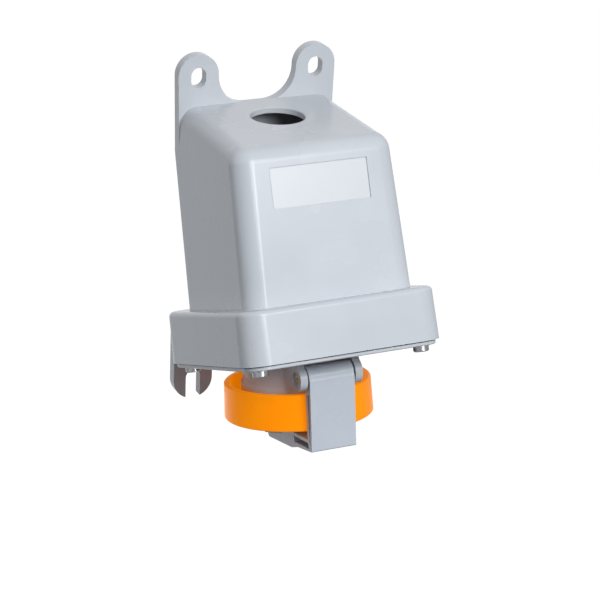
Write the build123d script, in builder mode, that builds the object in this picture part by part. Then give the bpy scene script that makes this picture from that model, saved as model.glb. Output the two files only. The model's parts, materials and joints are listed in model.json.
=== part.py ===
# Watertight industrial wall socket with a spring lid and a bayonet locking ring
#
# A moulded hood stands on the wall on two ears and two feet and leans out as it goes down.
# A flange plate closes its skirt and carries an angled socket barrel with three contacts.
# A hinged lid covers the barrel, and a ring on the lid turns to lock it to the barrel.
#
# Millimetres. X is to the right, -Y is out of the wall and +Z is up. The origin is the centre
# of the four wall fixings, on the wall plane.

from build123d import *
from math import cos, radians, sin, sqrt, tan
import os

os.makedirs("parts", exist_ok=True)

# Wall fixings, ears and feet
FIXING_PITCH_X = 60.4
FIXING_PITCH_Z = 156.0
EAR_THICKNESS = 5.2
EAR_RADIUS = 10.2
EAR_TOP_RISE = 1.1
EAR_VALLEY_Z = 63.0
EAR_VALLEY_RADIUS = 15.5
FIXING_SLOT_WIDTH = 7.6
FIXING_SLOT_LENGTH = 9.8
EAR_PLATE_DROP = 20.0
FOOT_TOP_Z = -42.8
FOOT_POCKET_WALL = 3.2
FOOT_POCKET_DEPTH = 9.0
GUSSET_TOP_DROP = 6.0
GUSSET_LOW_RISE = 3.8
GUSSET_RUN_OUT = 6.0

# Hood and skirt, both square to one leaning axis
HOOD_TILT = 22.0
HOOD_TOP_Z = 64.0
HOOD_WIDTH_AT_SKIRT = 84.6
HOOD_DRAFT = 1.9
HOOD_FRONT = 42.7
HOOD_BACK = 35.5
HOOD_CORNER_RADIUS = 9.4
HOOD_BACK_RADIUS = 4.0
HOOD_TOP_FILLET = 8.8
HOOD_WALL = 3.0
SKIRT_WIDTH = 99.5
SKIRT_DEPTH = 105.4
SKIRT_HEIGHT = 24.8
SKIRT_DRAFT = 1.5
SKIRT_CORNER_RADIUS = 11.5
SKIRT_TOP_FILLET = 2.5
SKIRT_WALL = 4.5
SKIRT_CENTRE_Y = -68.0
SKIRT_CENTRE_Z = -40.6

# Cable entry and label recess
ENTRY_DIAMETER = 25.8
ENTRY_FROM_WALL = 29.5
ENTRY_CHAMFER = 0.5
LABEL_WIDTH = 49.0
LABEL_HEIGHT = 19.0
LABEL_CENTRE_Z = 47.4
LABEL_DEPTH = 0.5

# Flange plate, its gasket and its four screws
GASKET_THICKNESS = 0.5
GASKET_INSET = 2.3
GASKET_WIDTH = 2.1
PLATE_THICKNESS = 1.7
PLATE_INSET = 1.8
PLATE_EDGE_CHAMFER = 0.4
SCREW_INSET_SIDE = 9.2
SCREW_INSET_FRONT = 10.4
SCREW_SHANK_DIAMETER = 4.0
SCREW_LENGTH = 16.0
SCREW_HEAD_DIAMETER = 7.4
SCREW_HEAD_HEIGHT = 2.5
SCREW_HEAD_CHAMFER = 0.5
SCREW_RECESS_DIAMETER = 3.2
SCREW_RECESS_DEPTH = 1.4
WASHER_DIAMETER = 8.6
WASHER_THICKNESS = 0.6
BOSS_DIAMETER = 10.0
FIT_CLEARANCE = 0.05
HOLE_CLEARANCE = 0.2

# Socket barrel, leaning less than the hood
SOCKET_LEAN = 10.0
SOCKET_BEHIND_CENTRE = 9.6
SOCKET_DROP = 1.2
BARREL_OUTER_DIAMETER = 52.0
BARREL_RIM_DIAMETER = 54.0
BARREL_BORE = 46.0
BARREL_END = 21.0
BARREL_RIM_START = 10.0
BARREL_REAR = -14.0
BARREL_FLOOR_THICKNESS = 4.0
KEYWAY_WIDTH = 5.2
KEYWAY_DEPTH = 1.4
RAMP_START = 15.0
RAMP_HEIGHT = 2.5
RAMP_REACH = 3.2
RAMP_FIRST_ANGLE = 114.0
RAMP_SPAN = 40.0

# Contacts and their carrier
CARRIER_DIAMETER = 36.0
CARRIER_END = 15.0
CARRIER_FRONT_WEB = 1.2
CARRIER_HOLE_CLEARANCE = 0.6
CARRIER_CHAMFER = 0.8
CARRIER_COLLAR_REACH = 0.8
CARRIER_COLLAR_THICKNESS = 1.2
BLOCK_FLANGE_DIAMETER = 49.0
BLOCK_FLANGE_THICKNESS = 1.5
BLOCK_DIAMETER = 35.0
BLOCK_LENGTH = 14.0
CARRIER_SCREW_RADIUS = 21.0
CARRIER_SCREW_DIAMETER = 3.0
CARRIER_SCREW_HEAD = 5.4
CARRIER_SCREW_HEAD_HEIGHT = 2.0
CARRIER_SCREW_DEPTH = 3.0
CONTACT_CIRCLE_RADIUS = 10.8
PHASE_PIN_DIAMETER = 5.0
EARTH_PIN_DIAMETER = 7.0
CONTACT_WALL = 1.1
CONTACT_SLIT = 0.6
TERMINAL_WALL = 2.1
PIN_DEPTH = 25.0
WIRE_BORE_DIAMETER = 4.2
WIRE_BORE_DEPTH = 10.0
TERMINAL_SCREW_DIAMETER = 3.4
TERMINAL_SCREW_HEAD = 4.8
TERMINAL_SCREW_SINK = 2.0
SCREWDRIVER_SLOT = 0.8
CONTACT_HOURS = {"neutral": 0.0, "earth": 120.0, "line": 240.0}

# Hinge
HINGE_INSIDE_RING = 1.5
HINGE_DROP = 3.5
KNUCKLE_DIAMETER = 11.8
KNUCKLE_THICKNESS = 3.7
HINGE_WIDTH = 31.8
HINGE_SIDE_GAP = 0.8
PIN_DIAMETER = 4.3
PIN_RECESS_DIAMETER = 6.6
PIN_RECESS_DEPTH = 0.8
PIN_CHAMFER = 0.3
PIN_DIMPLE_DIAMETER = 1.6
PIN_DIMPLE_DEPTH = 0.5
SPRING_OUTER_DIAMETER = 8.4
SPRING_WIRE = 1.2
SPRING_WIDTH = 8.4
SPRING_POCKET_GAP = 0.4

# Lid: cap, boss, strap and arm
GASKET_GAP = 0.2
LID_GASKET_THICKNESS = 1.5
LID_GASKET_INNER = 43.6
LID_GASKET_OUTER = 57.6
CAP_RIM_WIDTH = 2.2
CAP_THICKNESS = 3.0
CAP_RIM_HEIGHT = 1.4
LID_BARREL_RADIUS = 5.5
ARM_PROUD = 0.5
ARM_TOP_DROP = 0.7
ARM_SLOPE_RUN = 1.7
BOSS_BACK = -12.4
BOSS_FOOT = 42.0
BOSS_FRONT = 15.5
STRAP_FOOT = 39.0
STRAP_TOP = 33.2
STRAP_STEP_BACK = 22.5
ARM_FRONT_WALL = 1.5
ARM_BACK_WALL = 1.9
ARM_POCKET_DEPTH = 7.5
STRAP_RIB = 1.5
STRAP_POCKET_BACK = 18.5
CORNER_RIB = 1.4
LID_EDGE_FILLET = 0.8
HOOK_WIDTH = 8.0
HOOK_THICKNESS = 1.4
HOOK_LIP = 1.6
HOOK_GAP = 0.3

# Locking ring
RING_PLAY = 1.3
RING_WALL_TOP = 2.8
RING_WALL_FOOT = 3.4
RING_TOP = 11.9
RING_HEIGHT = 17.4
RING_FLANGE_THICKNESS = 2.3
RING_FLANGE_REACH = 2.0
RING_LUG_ANGLE = 90.0
RING_LUG_HALF_ANGLE = 12.0
RING_LUG_HEIGHT = 2.7
RING_LUG_GAP = 0.6
RING_EDGE_CHAMFER = 0.6
RING_CLEARANCE = 0.3

# Planes and places worked out from the sizes above


def leaning_plane(y, z, tilt):
    """A plane across the X axis whose Z points down along a leaning axis and Y points out."""
    lean = radians(tilt)
    return Plane(origin=(0, y, z), x_dir=(1, 0, 0), z_dir=(0, -sin(lean), -cos(lean)))


SKIRT = leaning_plane(SKIRT_CENTRE_Y, SKIRT_CENTRE_Z, HOOD_TILT)
SKIRT_UP = Plane(origin=SKIRT.origin, x_dir=(1, 0, 0), z_dir=-SKIRT.z_dir)
HOOD_SECTION = Plane(origin=SKIRT.origin, x_dir=SKIRT.x_dir, z_dir=SKIRT.y_dir)
socket_origin = SKIRT.from_local_coords((0, -SOCKET_BEHIND_CENTRE, SOCKET_DROP))
SOCKET = leaning_plane(socket_origin.Y, socket_origin.Z, HOOD_TILT - SOCKET_LEAN)
SOCKET_AXIS = Axis(SOCKET.origin, SOCKET.z_dir)
SOCKET_SECTION = Plane(origin=SOCKET.origin, x_dir=SOCKET.x_dir, z_dir=-SOCKET.y_dir)
SOCKET_SIDE = Plane(origin=SOCKET.origin, x_dir=SOCKET.y_dir, z_dir=SOCKET.x_dir)

fixing_x = FIXING_PITCH_X / 2
fixing_z = FIXING_PITCH_Z / 2
ear_edge = fixing_x + EAR_RADIUS
ear_inner = fixing_x - EAR_RADIUS
ear_centre_z = fixing_z + EAR_TOP_RISE
plate_face = GASKET_THICKNESS + PLATE_THICKNESS
screw_spots = GridLocations(SKIRT_WIDTH - 2 * SCREW_INSET_SIDE, SKIRT_DEPTH - 2 * SCREW_INSET_FRONT, 2, 2)
screw_places = [(spot.position.X, spot.position.Y) for spot in screw_spots]
cap_face = BARREL_END + GASKET_GAP + LID_GASKET_THICKNESS
cap_back = cap_face + CAP_THICKNESS
cap_radius = LID_GASKET_OUTER / 2 + CAP_RIM_WIDTH
ring_bore = cap_radius + RING_PLAY
ring_flange_bore = cap_radius - RING_FLANGE_REACH
ring_foot_radius = ring_bore + RING_WALL_FOOT
ring_foot = RING_TOP + RING_HEIGHT
hinge_reach = ring_foot_radius - HINGE_INSIDE_RING
lid_half = HINGE_WIDTH / 2 - KNUCKLE_THICKNESS - HINGE_SIDE_GAP
pin_radius = PIN_DIAMETER / 2
spring_pocket = SPRING_OUTER_DIAMETER / 2 + SPRING_POCKET_GAP


# Hood: a trapezoid of the two drafted sides, drawn from front to back across the leaning axis
hood_rise = 150.0


def hood_half_width(rise):
    """Half the hood's width at a height above the skirt's foot, along the leaning axis."""
    return HOOD_WIDTH_AT_SKIRT / 2 - (rise - SKIRT_HEIGHT) * tan(radians(HOOD_DRAFT))


def hood_prism(shrink, start):
    """The hood's outer form, or its hollow when shrunk by the wall."""
    with BuildPart() as prism:
        with BuildSketch(HOOD_SECTION.offset(HOOD_FRONT - shrink)):
            with BuildLine():
                Polyline(
                    (shrink - hood_half_width(start), start),
                    (hood_half_width(start) - shrink, start),
                    (hood_half_width(hood_rise) - shrink, hood_rise),
                    (shrink - hood_half_width(hood_rise), hood_rise),
                    close=True,
                )
            make_face()
        extrude(amount=-(HOOD_FRONT + HOOD_BACK - 2 * shrink))
        uprights = prism.edges().filter_by(lambda edge: abs(edge.tangent_at(0.5).dot(SKIRT.z_dir)) > 0.9)
        uprights = uprights.sort_by(Axis(SKIRT.origin, SKIRT.y_dir))
        fillet(uprights[2:], HOOD_CORNER_RADIUS - shrink)
        uprights = prism.edges().filter_by(lambda edge: abs(edge.tangent_at(0.5).dot(SKIRT.z_dir)) > 0.9)
        uprights = uprights.sort_by(Axis(SKIRT.origin, SKIRT.y_dir))
        fillet(uprights[:2], HOOD_BACK_RADIUS - shrink)
        with BuildSketch(Plane.XY.offset(HOOD_TOP_Z - shrink)):
            Rectangle(4 * SKIRT_WIDTH, 8 * SKIRT_DEPTH)
        extrude(amount=hood_rise, mode=Mode.SUBTRACT)
        with BuildSketch(Plane.XZ.offset(shrink)):
            Rectangle(4 * SKIRT_WIDTH, 8 * SKIRT_DEPTH)
        extrude(amount=-hood_rise, mode=Mode.SUBTRACT)
        top_edges = prism.faces().sort_by(Axis.Z)[-1].edges()
        fillet(top_edges.sort_by(Axis.Y)[:-1], HOOD_TOP_FILLET - shrink)
    return prism.part


hood_outside = hood_prism(0, SKIRT_HEIGHT - 2)
hood_hollow = hood_prism(HOOD_WALL, SKIRT_HEIGHT - HOOD_WALL - 1)

# Housing: hood, skirt, ears and feet as one moulding
with BuildPart() as housing:
    with BuildSketch(SKIRT_UP):
        RectangleRounded(SKIRT_WIDTH, SKIRT_DEPTH, SKIRT_CORNER_RADIUS)
    extrude(amount=SKIRT_HEIGHT, taper=SKIRT_DRAFT)
    skirt_top = housing.faces().filter_by(GeomType.PLANE).sort_by(Axis(SKIRT.origin, SKIRT_UP.z_dir))[-1]
    fillet(skirt_top.edges(), SKIRT_TOP_FILLET)
    add(hood_outside)

    # Back plate with the two ears and the valley between them, which runs out of the hood's sides
    plate_low_z = HOOD_TOP_Z - EAR_PLATE_DROP
    plate_low_edge = hood_half_width(-SKIRT.to_local_coords(Vector(0, 0, plate_low_z)).Z)
    with BuildSketch(Plane.XZ):
        with Locations((0, (EAR_VALLEY_Z + ear_centre_z) / 2)):
            Rectangle(2 * ear_inner, ear_centre_z - EAR_VALLEY_Z)
    extrude(amount=EAR_THICKNESS, mode=Mode.SUBTRACT)
    with BuildSketch(Plane.XZ):
        with BuildLine():
            outline = Polyline(
                (-plate_low_edge, plate_low_z),
                (-ear_edge, ear_centre_z),
                (-ear_inner, ear_centre_z),
                (-ear_inner, EAR_VALLEY_Z),
                (ear_inner, EAR_VALLEY_Z),
                (ear_inner, ear_centre_z),
                (ear_edge, ear_centre_z),
                (plate_low_edge, plate_low_z),
                close=True,
            )
        make_face()
        valley = outline.vertices().filter_by_position(Axis.Y, EAR_VALLEY_Z - 0.1, EAR_VALLEY_Z + 0.1)
        fillet(valley, EAR_VALLEY_RADIUS)
        with Locations((-fixing_x, ear_centre_z), (fixing_x, ear_centre_z)):
            Circle(EAR_RADIUS)
    extrude(amount=EAR_THICKNESS)

    # Two feet on the wall, each with a gusset to the back of the skirt
    skirt_back = SKIRT_DEPTH / 2
    gusset_top = SKIRT.from_local_coords((0, -skirt_back, GUSSET_TOP_DROP - SKIRT_HEIGHT))
    gusset_low = SKIRT.from_local_coords((0, -skirt_back, -GUSSET_LOW_RISE))
    with BuildSketch(Plane.XZ):
        for side in (-1, 1):
            with Locations((side * fixing_x, (FOOT_TOP_Z - fixing_z) / 2)):
                Rectangle(2 * EAR_RADIUS, FOOT_TOP_Z + fixing_z)
            with Locations((side * fixing_x, -fixing_z)):
                Circle(EAR_RADIUS)
    extrude(amount=EAR_THICKNESS)
    for side in (-1, 1):
        with BuildSketch(Plane.YZ.offset(side * fixing_x)):
            with BuildLine():
                Polyline(
                    (0, FOOT_TOP_Z),
                    (gusset_top.Y - 2, FOOT_TOP_Z),
                    (gusset_low.Y + 1, gusset_low.Z),
                    (-EAR_THICKNESS, gusset_low.Z - GUSSET_RUN_OUT),
                    (0, gusset_low.Z - GUSSET_RUN_OUT),
                    close=True,
                )
            make_face()
        extrude(amount=EAR_RADIUS, both=True)

    # Hollows of the hood and the skirt, then the screw bosses in the corners
    add(hood_hollow, mode=Mode.SUBTRACT)
    hollow_radius = SKIRT_CORNER_RADIUS - SKIRT_WALL
    with BuildSketch(SKIRT_UP):
        RectangleRounded(SKIRT_WIDTH - 2 * SKIRT_WALL, SKIRT_DEPTH - 2 * SKIRT_WALL, hollow_radius)
    extrude(amount=SKIRT_HEIGHT - HOOD_WALL, mode=Mode.SUBTRACT)
    with BuildSketch(SKIRT_UP):
        with Locations(*screw_places):
            Circle(BOSS_DIAMETER / 2)
    extrude(amount=SKIRT_HEIGHT - HOOD_WALL + 0.5)
    with BuildSketch(SKIRT_UP):
        with Locations(*screw_places):
            Circle(SCREW_SHANK_DIAMETER / 2 + FIT_CLEARANCE)
    extrude(amount=SCREW_LENGTH, mode=Mode.SUBTRACT)

    # Cored pockets behind the feet
    pocket_low = gusset_low.Z + 1
    with BuildSketch(Plane.XZ):
        with Locations(
            (-fixing_x, (FOOT_TOP_Z - FOOT_POCKET_WALL + pocket_low) / 2),
            (fixing_x, (FOOT_TOP_Z - FOOT_POCKET_WALL + pocket_low) / 2),
        ):
            Rectangle(2 * (EAR_RADIUS - FOOT_POCKET_WALL), FOOT_TOP_Z - FOOT_POCKET_WALL - pocket_low)
    extrude(amount=FOOT_POCKET_DEPTH, mode=Mode.SUBTRACT)

    # Fixing slots: closed in the ears, open at the bottom in the feet
    slot_straight = FIXING_SLOT_LENGTH - FIXING_SLOT_WIDTH
    with BuildSketch(Plane.XZ):
        with Locations((-fixing_x, fixing_z), (fixing_x, fixing_z)):
            SlotCenterToCenter(slot_straight, FIXING_SLOT_WIDTH, rotation=90)
        with Locations((-fixing_x, -fixing_z), (fixing_x, -fixing_z)):
            SlotCenterToCenter(slot_straight, FIXING_SLOT_WIDTH, rotation=90)
        with Locations((-fixing_x, -fixing_z - EAR_RADIUS), (fixing_x, -fixing_z - EAR_RADIUS)):
            Rectangle(FIXING_SLOT_WIDTH, 2 * EAR_RADIUS)
    extrude(amount=EAR_THICKNESS, mode=Mode.SUBTRACT)

    # Cable entry in the top
    with BuildSketch(Plane.XY.offset(HOOD_TOP_Z)):
        with Locations((0, -ENTRY_FROM_WALL)):
            Circle(ENTRY_DIAMETER / 2)
    extrude(amount=-2 * HOOD_WALL, mode=Mode.SUBTRACT)
    rim = housing.edges().filter_by(GeomType.CIRCLE).filter_by_position(Axis.Z, HOOD_TOP_Z - 0.01, HOOD_TOP_Z + 0.01)
    chamfer(rim.sort_by(SortBy.LENGTH)[-1], ENTRY_CHAMFER)

    # Label recess in the front face
    front_foot = SKIRT.from_local_coords((0, HOOD_FRONT, 0))
    label_y = front_foot.Y + (LABEL_CENTRE_Z - front_foot.Z) * tan(radians(HOOD_TILT))
    FRONT = Plane(origin=(0, label_y, LABEL_CENTRE_Z), x_dir=(1, 0, 0), z_dir=SKIRT.y_dir)
    with BuildSketch(FRONT):
        RectangleRounded(LABEL_WIDTH, LABEL_HEIGHT, 0.6)
    extrude(amount=-LABEL_DEPTH, mode=Mode.SUBTRACT)
housing.part.label = "housing"
export_step(housing.part, "parts/housing.step")

# Flange gasket between the skirt's rim and the plate
with BuildPart() as flange_gasket:
    with BuildSketch(SKIRT):
        RectangleRounded(
            SKIRT_WIDTH - 2 * GASKET_INSET,
            SKIRT_DEPTH - 2 * GASKET_INSET,
            SKIRT_CORNER_RADIUS - GASKET_INSET,
        )
        RectangleRounded(
            SKIRT_WIDTH - 2 * (GASKET_INSET + GASKET_WIDTH),
            SKIRT_DEPTH - 2 * (GASKET_INSET + GASKET_WIDTH),
            SKIRT_CORNER_RADIUS - GASKET_INSET - GASKET_WIDTH,
            mode=Mode.SUBTRACT,
        )
        with Locations(*screw_places):
            Circle(BOSS_DIAMETER / 2)
        with Locations(*screw_places):
            Circle(SCREW_SHANK_DIAMETER / 2 + HOLE_CLEARANCE, mode=Mode.SUBTRACT)
    extrude(amount=GASKET_THICKNESS)
flange_gasket.part.label = "flange_gasket"
export_step(flange_gasket.part, "parts/flange_gasket.step")

# Flange plate that closes the skirt, with the hole that the barrel fills
barrel_radius = BARREL_OUTER_DIAMETER / 2
rim_radius = BARREL_RIM_DIAMETER / 2
bore_radius = BARREL_BORE / 2
carrier_radius = CARRIER_DIAMETER / 2
with BuildPart() as flange_plate:
    with BuildSketch(SKIRT.offset(GASKET_THICKNESS)):
        RectangleRounded(
            SKIRT_WIDTH - 2 * PLATE_INSET,
            SKIRT_DEPTH - 2 * PLATE_INSET,
            SKIRT_CORNER_RADIUS - PLATE_INSET,
        )
    extrude(amount=PLATE_THICKNESS)
    plate_edge = flange_plate.faces().sort_by(Axis(SKIRT.origin, SKIRT.z_dir))[-1].edges()
    chamfer(plate_edge, PLATE_EDGE_CHAMFER)
    with BuildSketch(SKIRT.offset(GASKET_THICKNESS)):
        with Locations(*screw_places):
            Circle(SCREW_SHANK_DIAMETER / 2 + HOLE_CLEARANCE)
    extrude(amount=PLATE_THICKNESS, mode=Mode.SUBTRACT)
    with BuildSketch(SOCKET.offset(BARREL_REAR)):
        Circle(barrel_radius)
    extrude(amount=BARREL_END - BARREL_REAR, mode=Mode.SUBTRACT)
flange_plate.part.label = "flange_plate"
export_step(flange_plate.part, "parts/flange_plate.step")

# Socket body: angled barrel, bayonet ramps and hinge knuckles
with BuildPart() as socket_body:
    # Two hinge knuckles, whose webs stand on the plate
    for side in (-1, 1):
        web_middle = side * (HINGE_WIDTH - KNUCKLE_THICKNESS) / 2
        knuckle = KNUCKLE_DIAMETER / 2
        slope = tan(radians(SOCKET_LEAN))
        plate_middle = plate_face / 2 - SOCKET_DROP
        with BuildSketch(SOCKET_SIDE.offset(web_middle)):
            with Locations((hinge_reach, HINGE_DROP)):
                Circle(knuckle)
            with BuildLine():
                Polyline(
                    (bore_radius - 4, HINGE_DROP + 1.5),
                    (bore_radius - 4, plate_middle - (bore_radius - 4) * slope),
                    (hinge_reach, plate_middle - hinge_reach * slope),
                    (hinge_reach + knuckle, HINGE_DROP),
                    (hinge_reach, HINGE_DROP),
                    (hinge_reach - 1, HINGE_DROP + knuckle - 0.1),
                    close=True,
                )
            make_face()
        extrude(amount=KNUCKLE_THICKNESS / 2, both=True)
    with BuildSketch(SKIRT.offset(GASKET_THICKNESS)):
        Rectangle(SKIRT_WIDTH, SKIRT_DEPTH)
    extrude(amount=PLATE_THICKNESS, mode=Mode.SUBTRACT)

    # Barrel with a thicker rim
    with BuildSketch(SOCKET_SECTION):
        with BuildLine():
            Polyline(
                (0, BARREL_REAR),
                (barrel_radius, BARREL_REAR),
                (barrel_radius, BARREL_RIM_START),
                (rim_radius, BARREL_RIM_START + 2 * (rim_radius - barrel_radius)),
                (rim_radius, BARREL_END),
                (0, BARREL_END),
                close=True,
            )
        make_face()
    revolve(axis=SOCKET_AXIS)

    # Two bayonet ramps, half a turn apart
    with BuildSketch(SOCKET.offset(RAMP_START)):
        Circle(rim_radius + RAMP_REACH)
        Circle(rim_radius - 1, mode=Mode.SUBTRACT)
        with BuildSketch(mode=Mode.INTERSECT):
            for turn in (0, 180):
                first = radians(turn + RAMP_FIRST_ANGLE)
                last = radians(turn + RAMP_FIRST_ANGLE + RAMP_SPAN)
                far = 2 * rim_radius
                with BuildLine():
                    Polyline(
                        (0, 0),
                        (far * cos(first), far * sin(first)),
                        (far * cos(last), far * sin(last)),
                        close=True,
                    )
                make_face()
    extrude(amount=RAMP_HEIGHT)

    # Bore and keyway
    with BuildSketch(SOCKET.offset(BARREL_END)):
        Circle(bore_radius)
    extrude(amount=BARREL_REAR - BARREL_END, mode=Mode.SUBTRACT)
    with BuildSketch(SOCKET.offset(BARREL_END)):
        with Locations((0, -bore_radius)):
            Rectangle(KEYWAY_WIDTH, 2 * KEYWAY_DEPTH)
    extrude(amount=-(BARREL_END - BARREL_REAR - BARREL_FLOOR_THICKNESS), mode=Mode.SUBTRACT)

    # Hinge pin hole with a recess at each end
    with BuildSketch(SOCKET_SIDE.offset(-HINGE_WIDTH / 2)):
        with Locations((hinge_reach, HINGE_DROP)):
            Circle(pin_radius + FIT_CLEARANCE)
    extrude(amount=HINGE_WIDTH, mode=Mode.SUBTRACT)
    for side in (-1, 1):
        with BuildSketch(SOCKET_SIDE.offset(side * HINGE_WIDTH / 2)):
            with Locations((hinge_reach, HINGE_DROP)):
                Circle(PIN_RECESS_DIAMETER / 2)
        extrude(amount=-side * PIN_RECESS_DEPTH, mode=Mode.SUBTRACT)
socket_body.part.label = "socket_body"
export_step(socket_body.part, "parts/socket_body.step")

# Barrel's floor: a ring that takes the carrier's collar and the two carrier screws
with BuildPart() as barrel_floor:
    with BuildSketch(SOCKET.offset(BARREL_REAR)):
        Circle(bore_radius)
        Circle(carrier_radius + HOLE_CLEARANCE, mode=Mode.SUBTRACT)
    extrude(amount=BARREL_FLOOR_THICKNESS)
    with BuildSketch(SOCKET.offset(BARREL_REAR)):
        Circle(carrier_radius + CARRIER_COLLAR_REACH + FIT_CLEARANCE)
    extrude(amount=CARRIER_COLLAR_THICKNESS, mode=Mode.SUBTRACT)
    with BuildSketch(SOCKET.offset(BARREL_REAR)):
        with Locations((-CARRIER_SCREW_RADIUS, 0), (CARRIER_SCREW_RADIUS, 0)):
            Circle(CARRIER_SCREW_DIAMETER / 2 + FIT_CLEARANCE)
    extrude(amount=CARRIER_SCREW_DEPTH, mode=Mode.SUBTRACT)
barrel_floor.part.label = "barrel_floor"
export_step(barrel_floor.part, "parts/barrel_floor.step")

# Contact carrier in front, in three shells, and terminal block behind, clamped to the floor
block_seat = BARREL_REAR - BLOCK_FLANGE_THICKNESS
block_rear = block_seat - BLOCK_LENGTH
terminal_middle = block_rear + WIRE_BORE_DEPTH / 2


def contact_spot(angle):
    """Place of a contact, clockwise from the hinge side as seen from below."""
    turn = radians(angle)
    return (CONTACT_CIRCLE_RADIUS * sin(turn), CONTACT_CIRCLE_RADIUS * cos(turn))


def pin_size(name):
    return EARTH_PIN_DIAMETER if name == "earth" else PHASE_PIN_DIAMETER


def terminal_plane(angle):
    """A plane across a contact's terminal, whose Z points away from the socket's axis."""
    turn = radians(angle)
    outward = SOCKET.x_dir * sin(turn) + SOCKET.y_dir * cos(turn)
    middle = SOCKET.from_local_coords((0, 0, terminal_middle)) + outward * CONTACT_CIRCLE_RADIUS
    return Plane(origin=middle, x_dir=SOCKET.z_dir, z_dir=outward)


for name, angle in CONTACT_HOURS.items():
    pin = pin_size(name) / 2
    far = 3 * carrier_radius
    with BuildPart() as carrier_shell:
        for start, length, radius in (
            (BARREL_REAR, CARRIER_END - BARREL_REAR, carrier_radius),
            (BARREL_REAR, CARRIER_COLLAR_THICKNESS, carrier_radius + CARRIER_COLLAR_REACH),
        ):
            with BuildSketch(SOCKET.offset(start)):
                Circle(radius)
                with BuildSketch(mode=Mode.INTERSECT):
                    with BuildLine():
                        Polyline(
                            (0, 0),
                            (far * sin(radians(angle - 60)), far * cos(radians(angle - 60))),
                            (far * sin(radians(angle + 60)), far * cos(radians(angle + 60))),
                            close=True,
                        )
                    make_face()
            extrude(amount=length)
        front_face = carrier_shell.faces().sort_by(SOCKET_AXIS)[-1]
        chamfer(front_face.edges().filter_by(GeomType.CIRCLE), CARRIER_CHAMFER)
        with BuildSketch(SOCKET.offset(CARRIER_END)):
            with Locations(contact_spot(angle)):
                Circle(pin + CARRIER_HOLE_CLEARANCE)
        extrude(amount=BARREL_REAR - CARRIER_END, mode=Mode.SUBTRACT)
        with BuildSketch(SOCKET.offset(CARRIER_END - CARRIER_FRONT_WEB)):
            with Locations(contact_spot(angle)):
                Circle(pin + CONTACT_WALL + FIT_CLEARANCE)
        extrude(amount=BARREL_REAR - CARRIER_END, mode=Mode.SUBTRACT)
    carrier_shell.part.label = f"carrier_{name}"
    export_step(carrier_shell.part, f"parts/carrier_{name}.step")

with BuildPart() as terminal_block:
    with BuildSketch(SOCKET.offset(block_rear)):
        Circle(BLOCK_DIAMETER / 2)
    extrude(amount=BLOCK_LENGTH)
    with BuildSketch(SOCKET.offset(block_seat)):
        Circle(BLOCK_FLANGE_DIAMETER / 2)
    extrude(amount=BLOCK_FLANGE_THICKNESS)
    for name, angle in CONTACT_HOURS.items():
        pin = pin_size(name) / 2
        with BuildSketch(SOCKET.offset(block_seat)):
            with Locations(contact_spot(angle)):
                Circle(pin + CONTACT_WALL + FIT_CLEARANCE)
        extrude(amount=BLOCK_FLANGE_THICKNESS, mode=Mode.SUBTRACT)
        with BuildSketch(SOCKET.offset(block_rear)):
            with Locations(contact_spot(angle)):
                Circle(pin + TERMINAL_WALL + FIT_CLEARANCE)
        extrude(amount=BLOCK_LENGTH, mode=Mode.SUBTRACT)
        with BuildSketch(terminal_plane(angle)):
            Circle(TERMINAL_SCREW_HEAD / 2 + HOLE_CLEARANCE)
        extrude(amount=BLOCK_DIAMETER / 2, mode=Mode.SUBTRACT)
    with BuildSketch(SOCKET.offset(block_seat)):
        with Locations((-CARRIER_SCREW_RADIUS, 0), (CARRIER_SCREW_RADIUS, 0)):
            Circle(CARRIER_SCREW_DIAMETER / 2 + HOLE_CLEARANCE)
    extrude(amount=BLOCK_FLANGE_THICKNESS, mode=Mode.SUBTRACT)
terminal_block.part.label = "terminal_block"
export_step(terminal_block.part, "parts/terminal_block.step")

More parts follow.
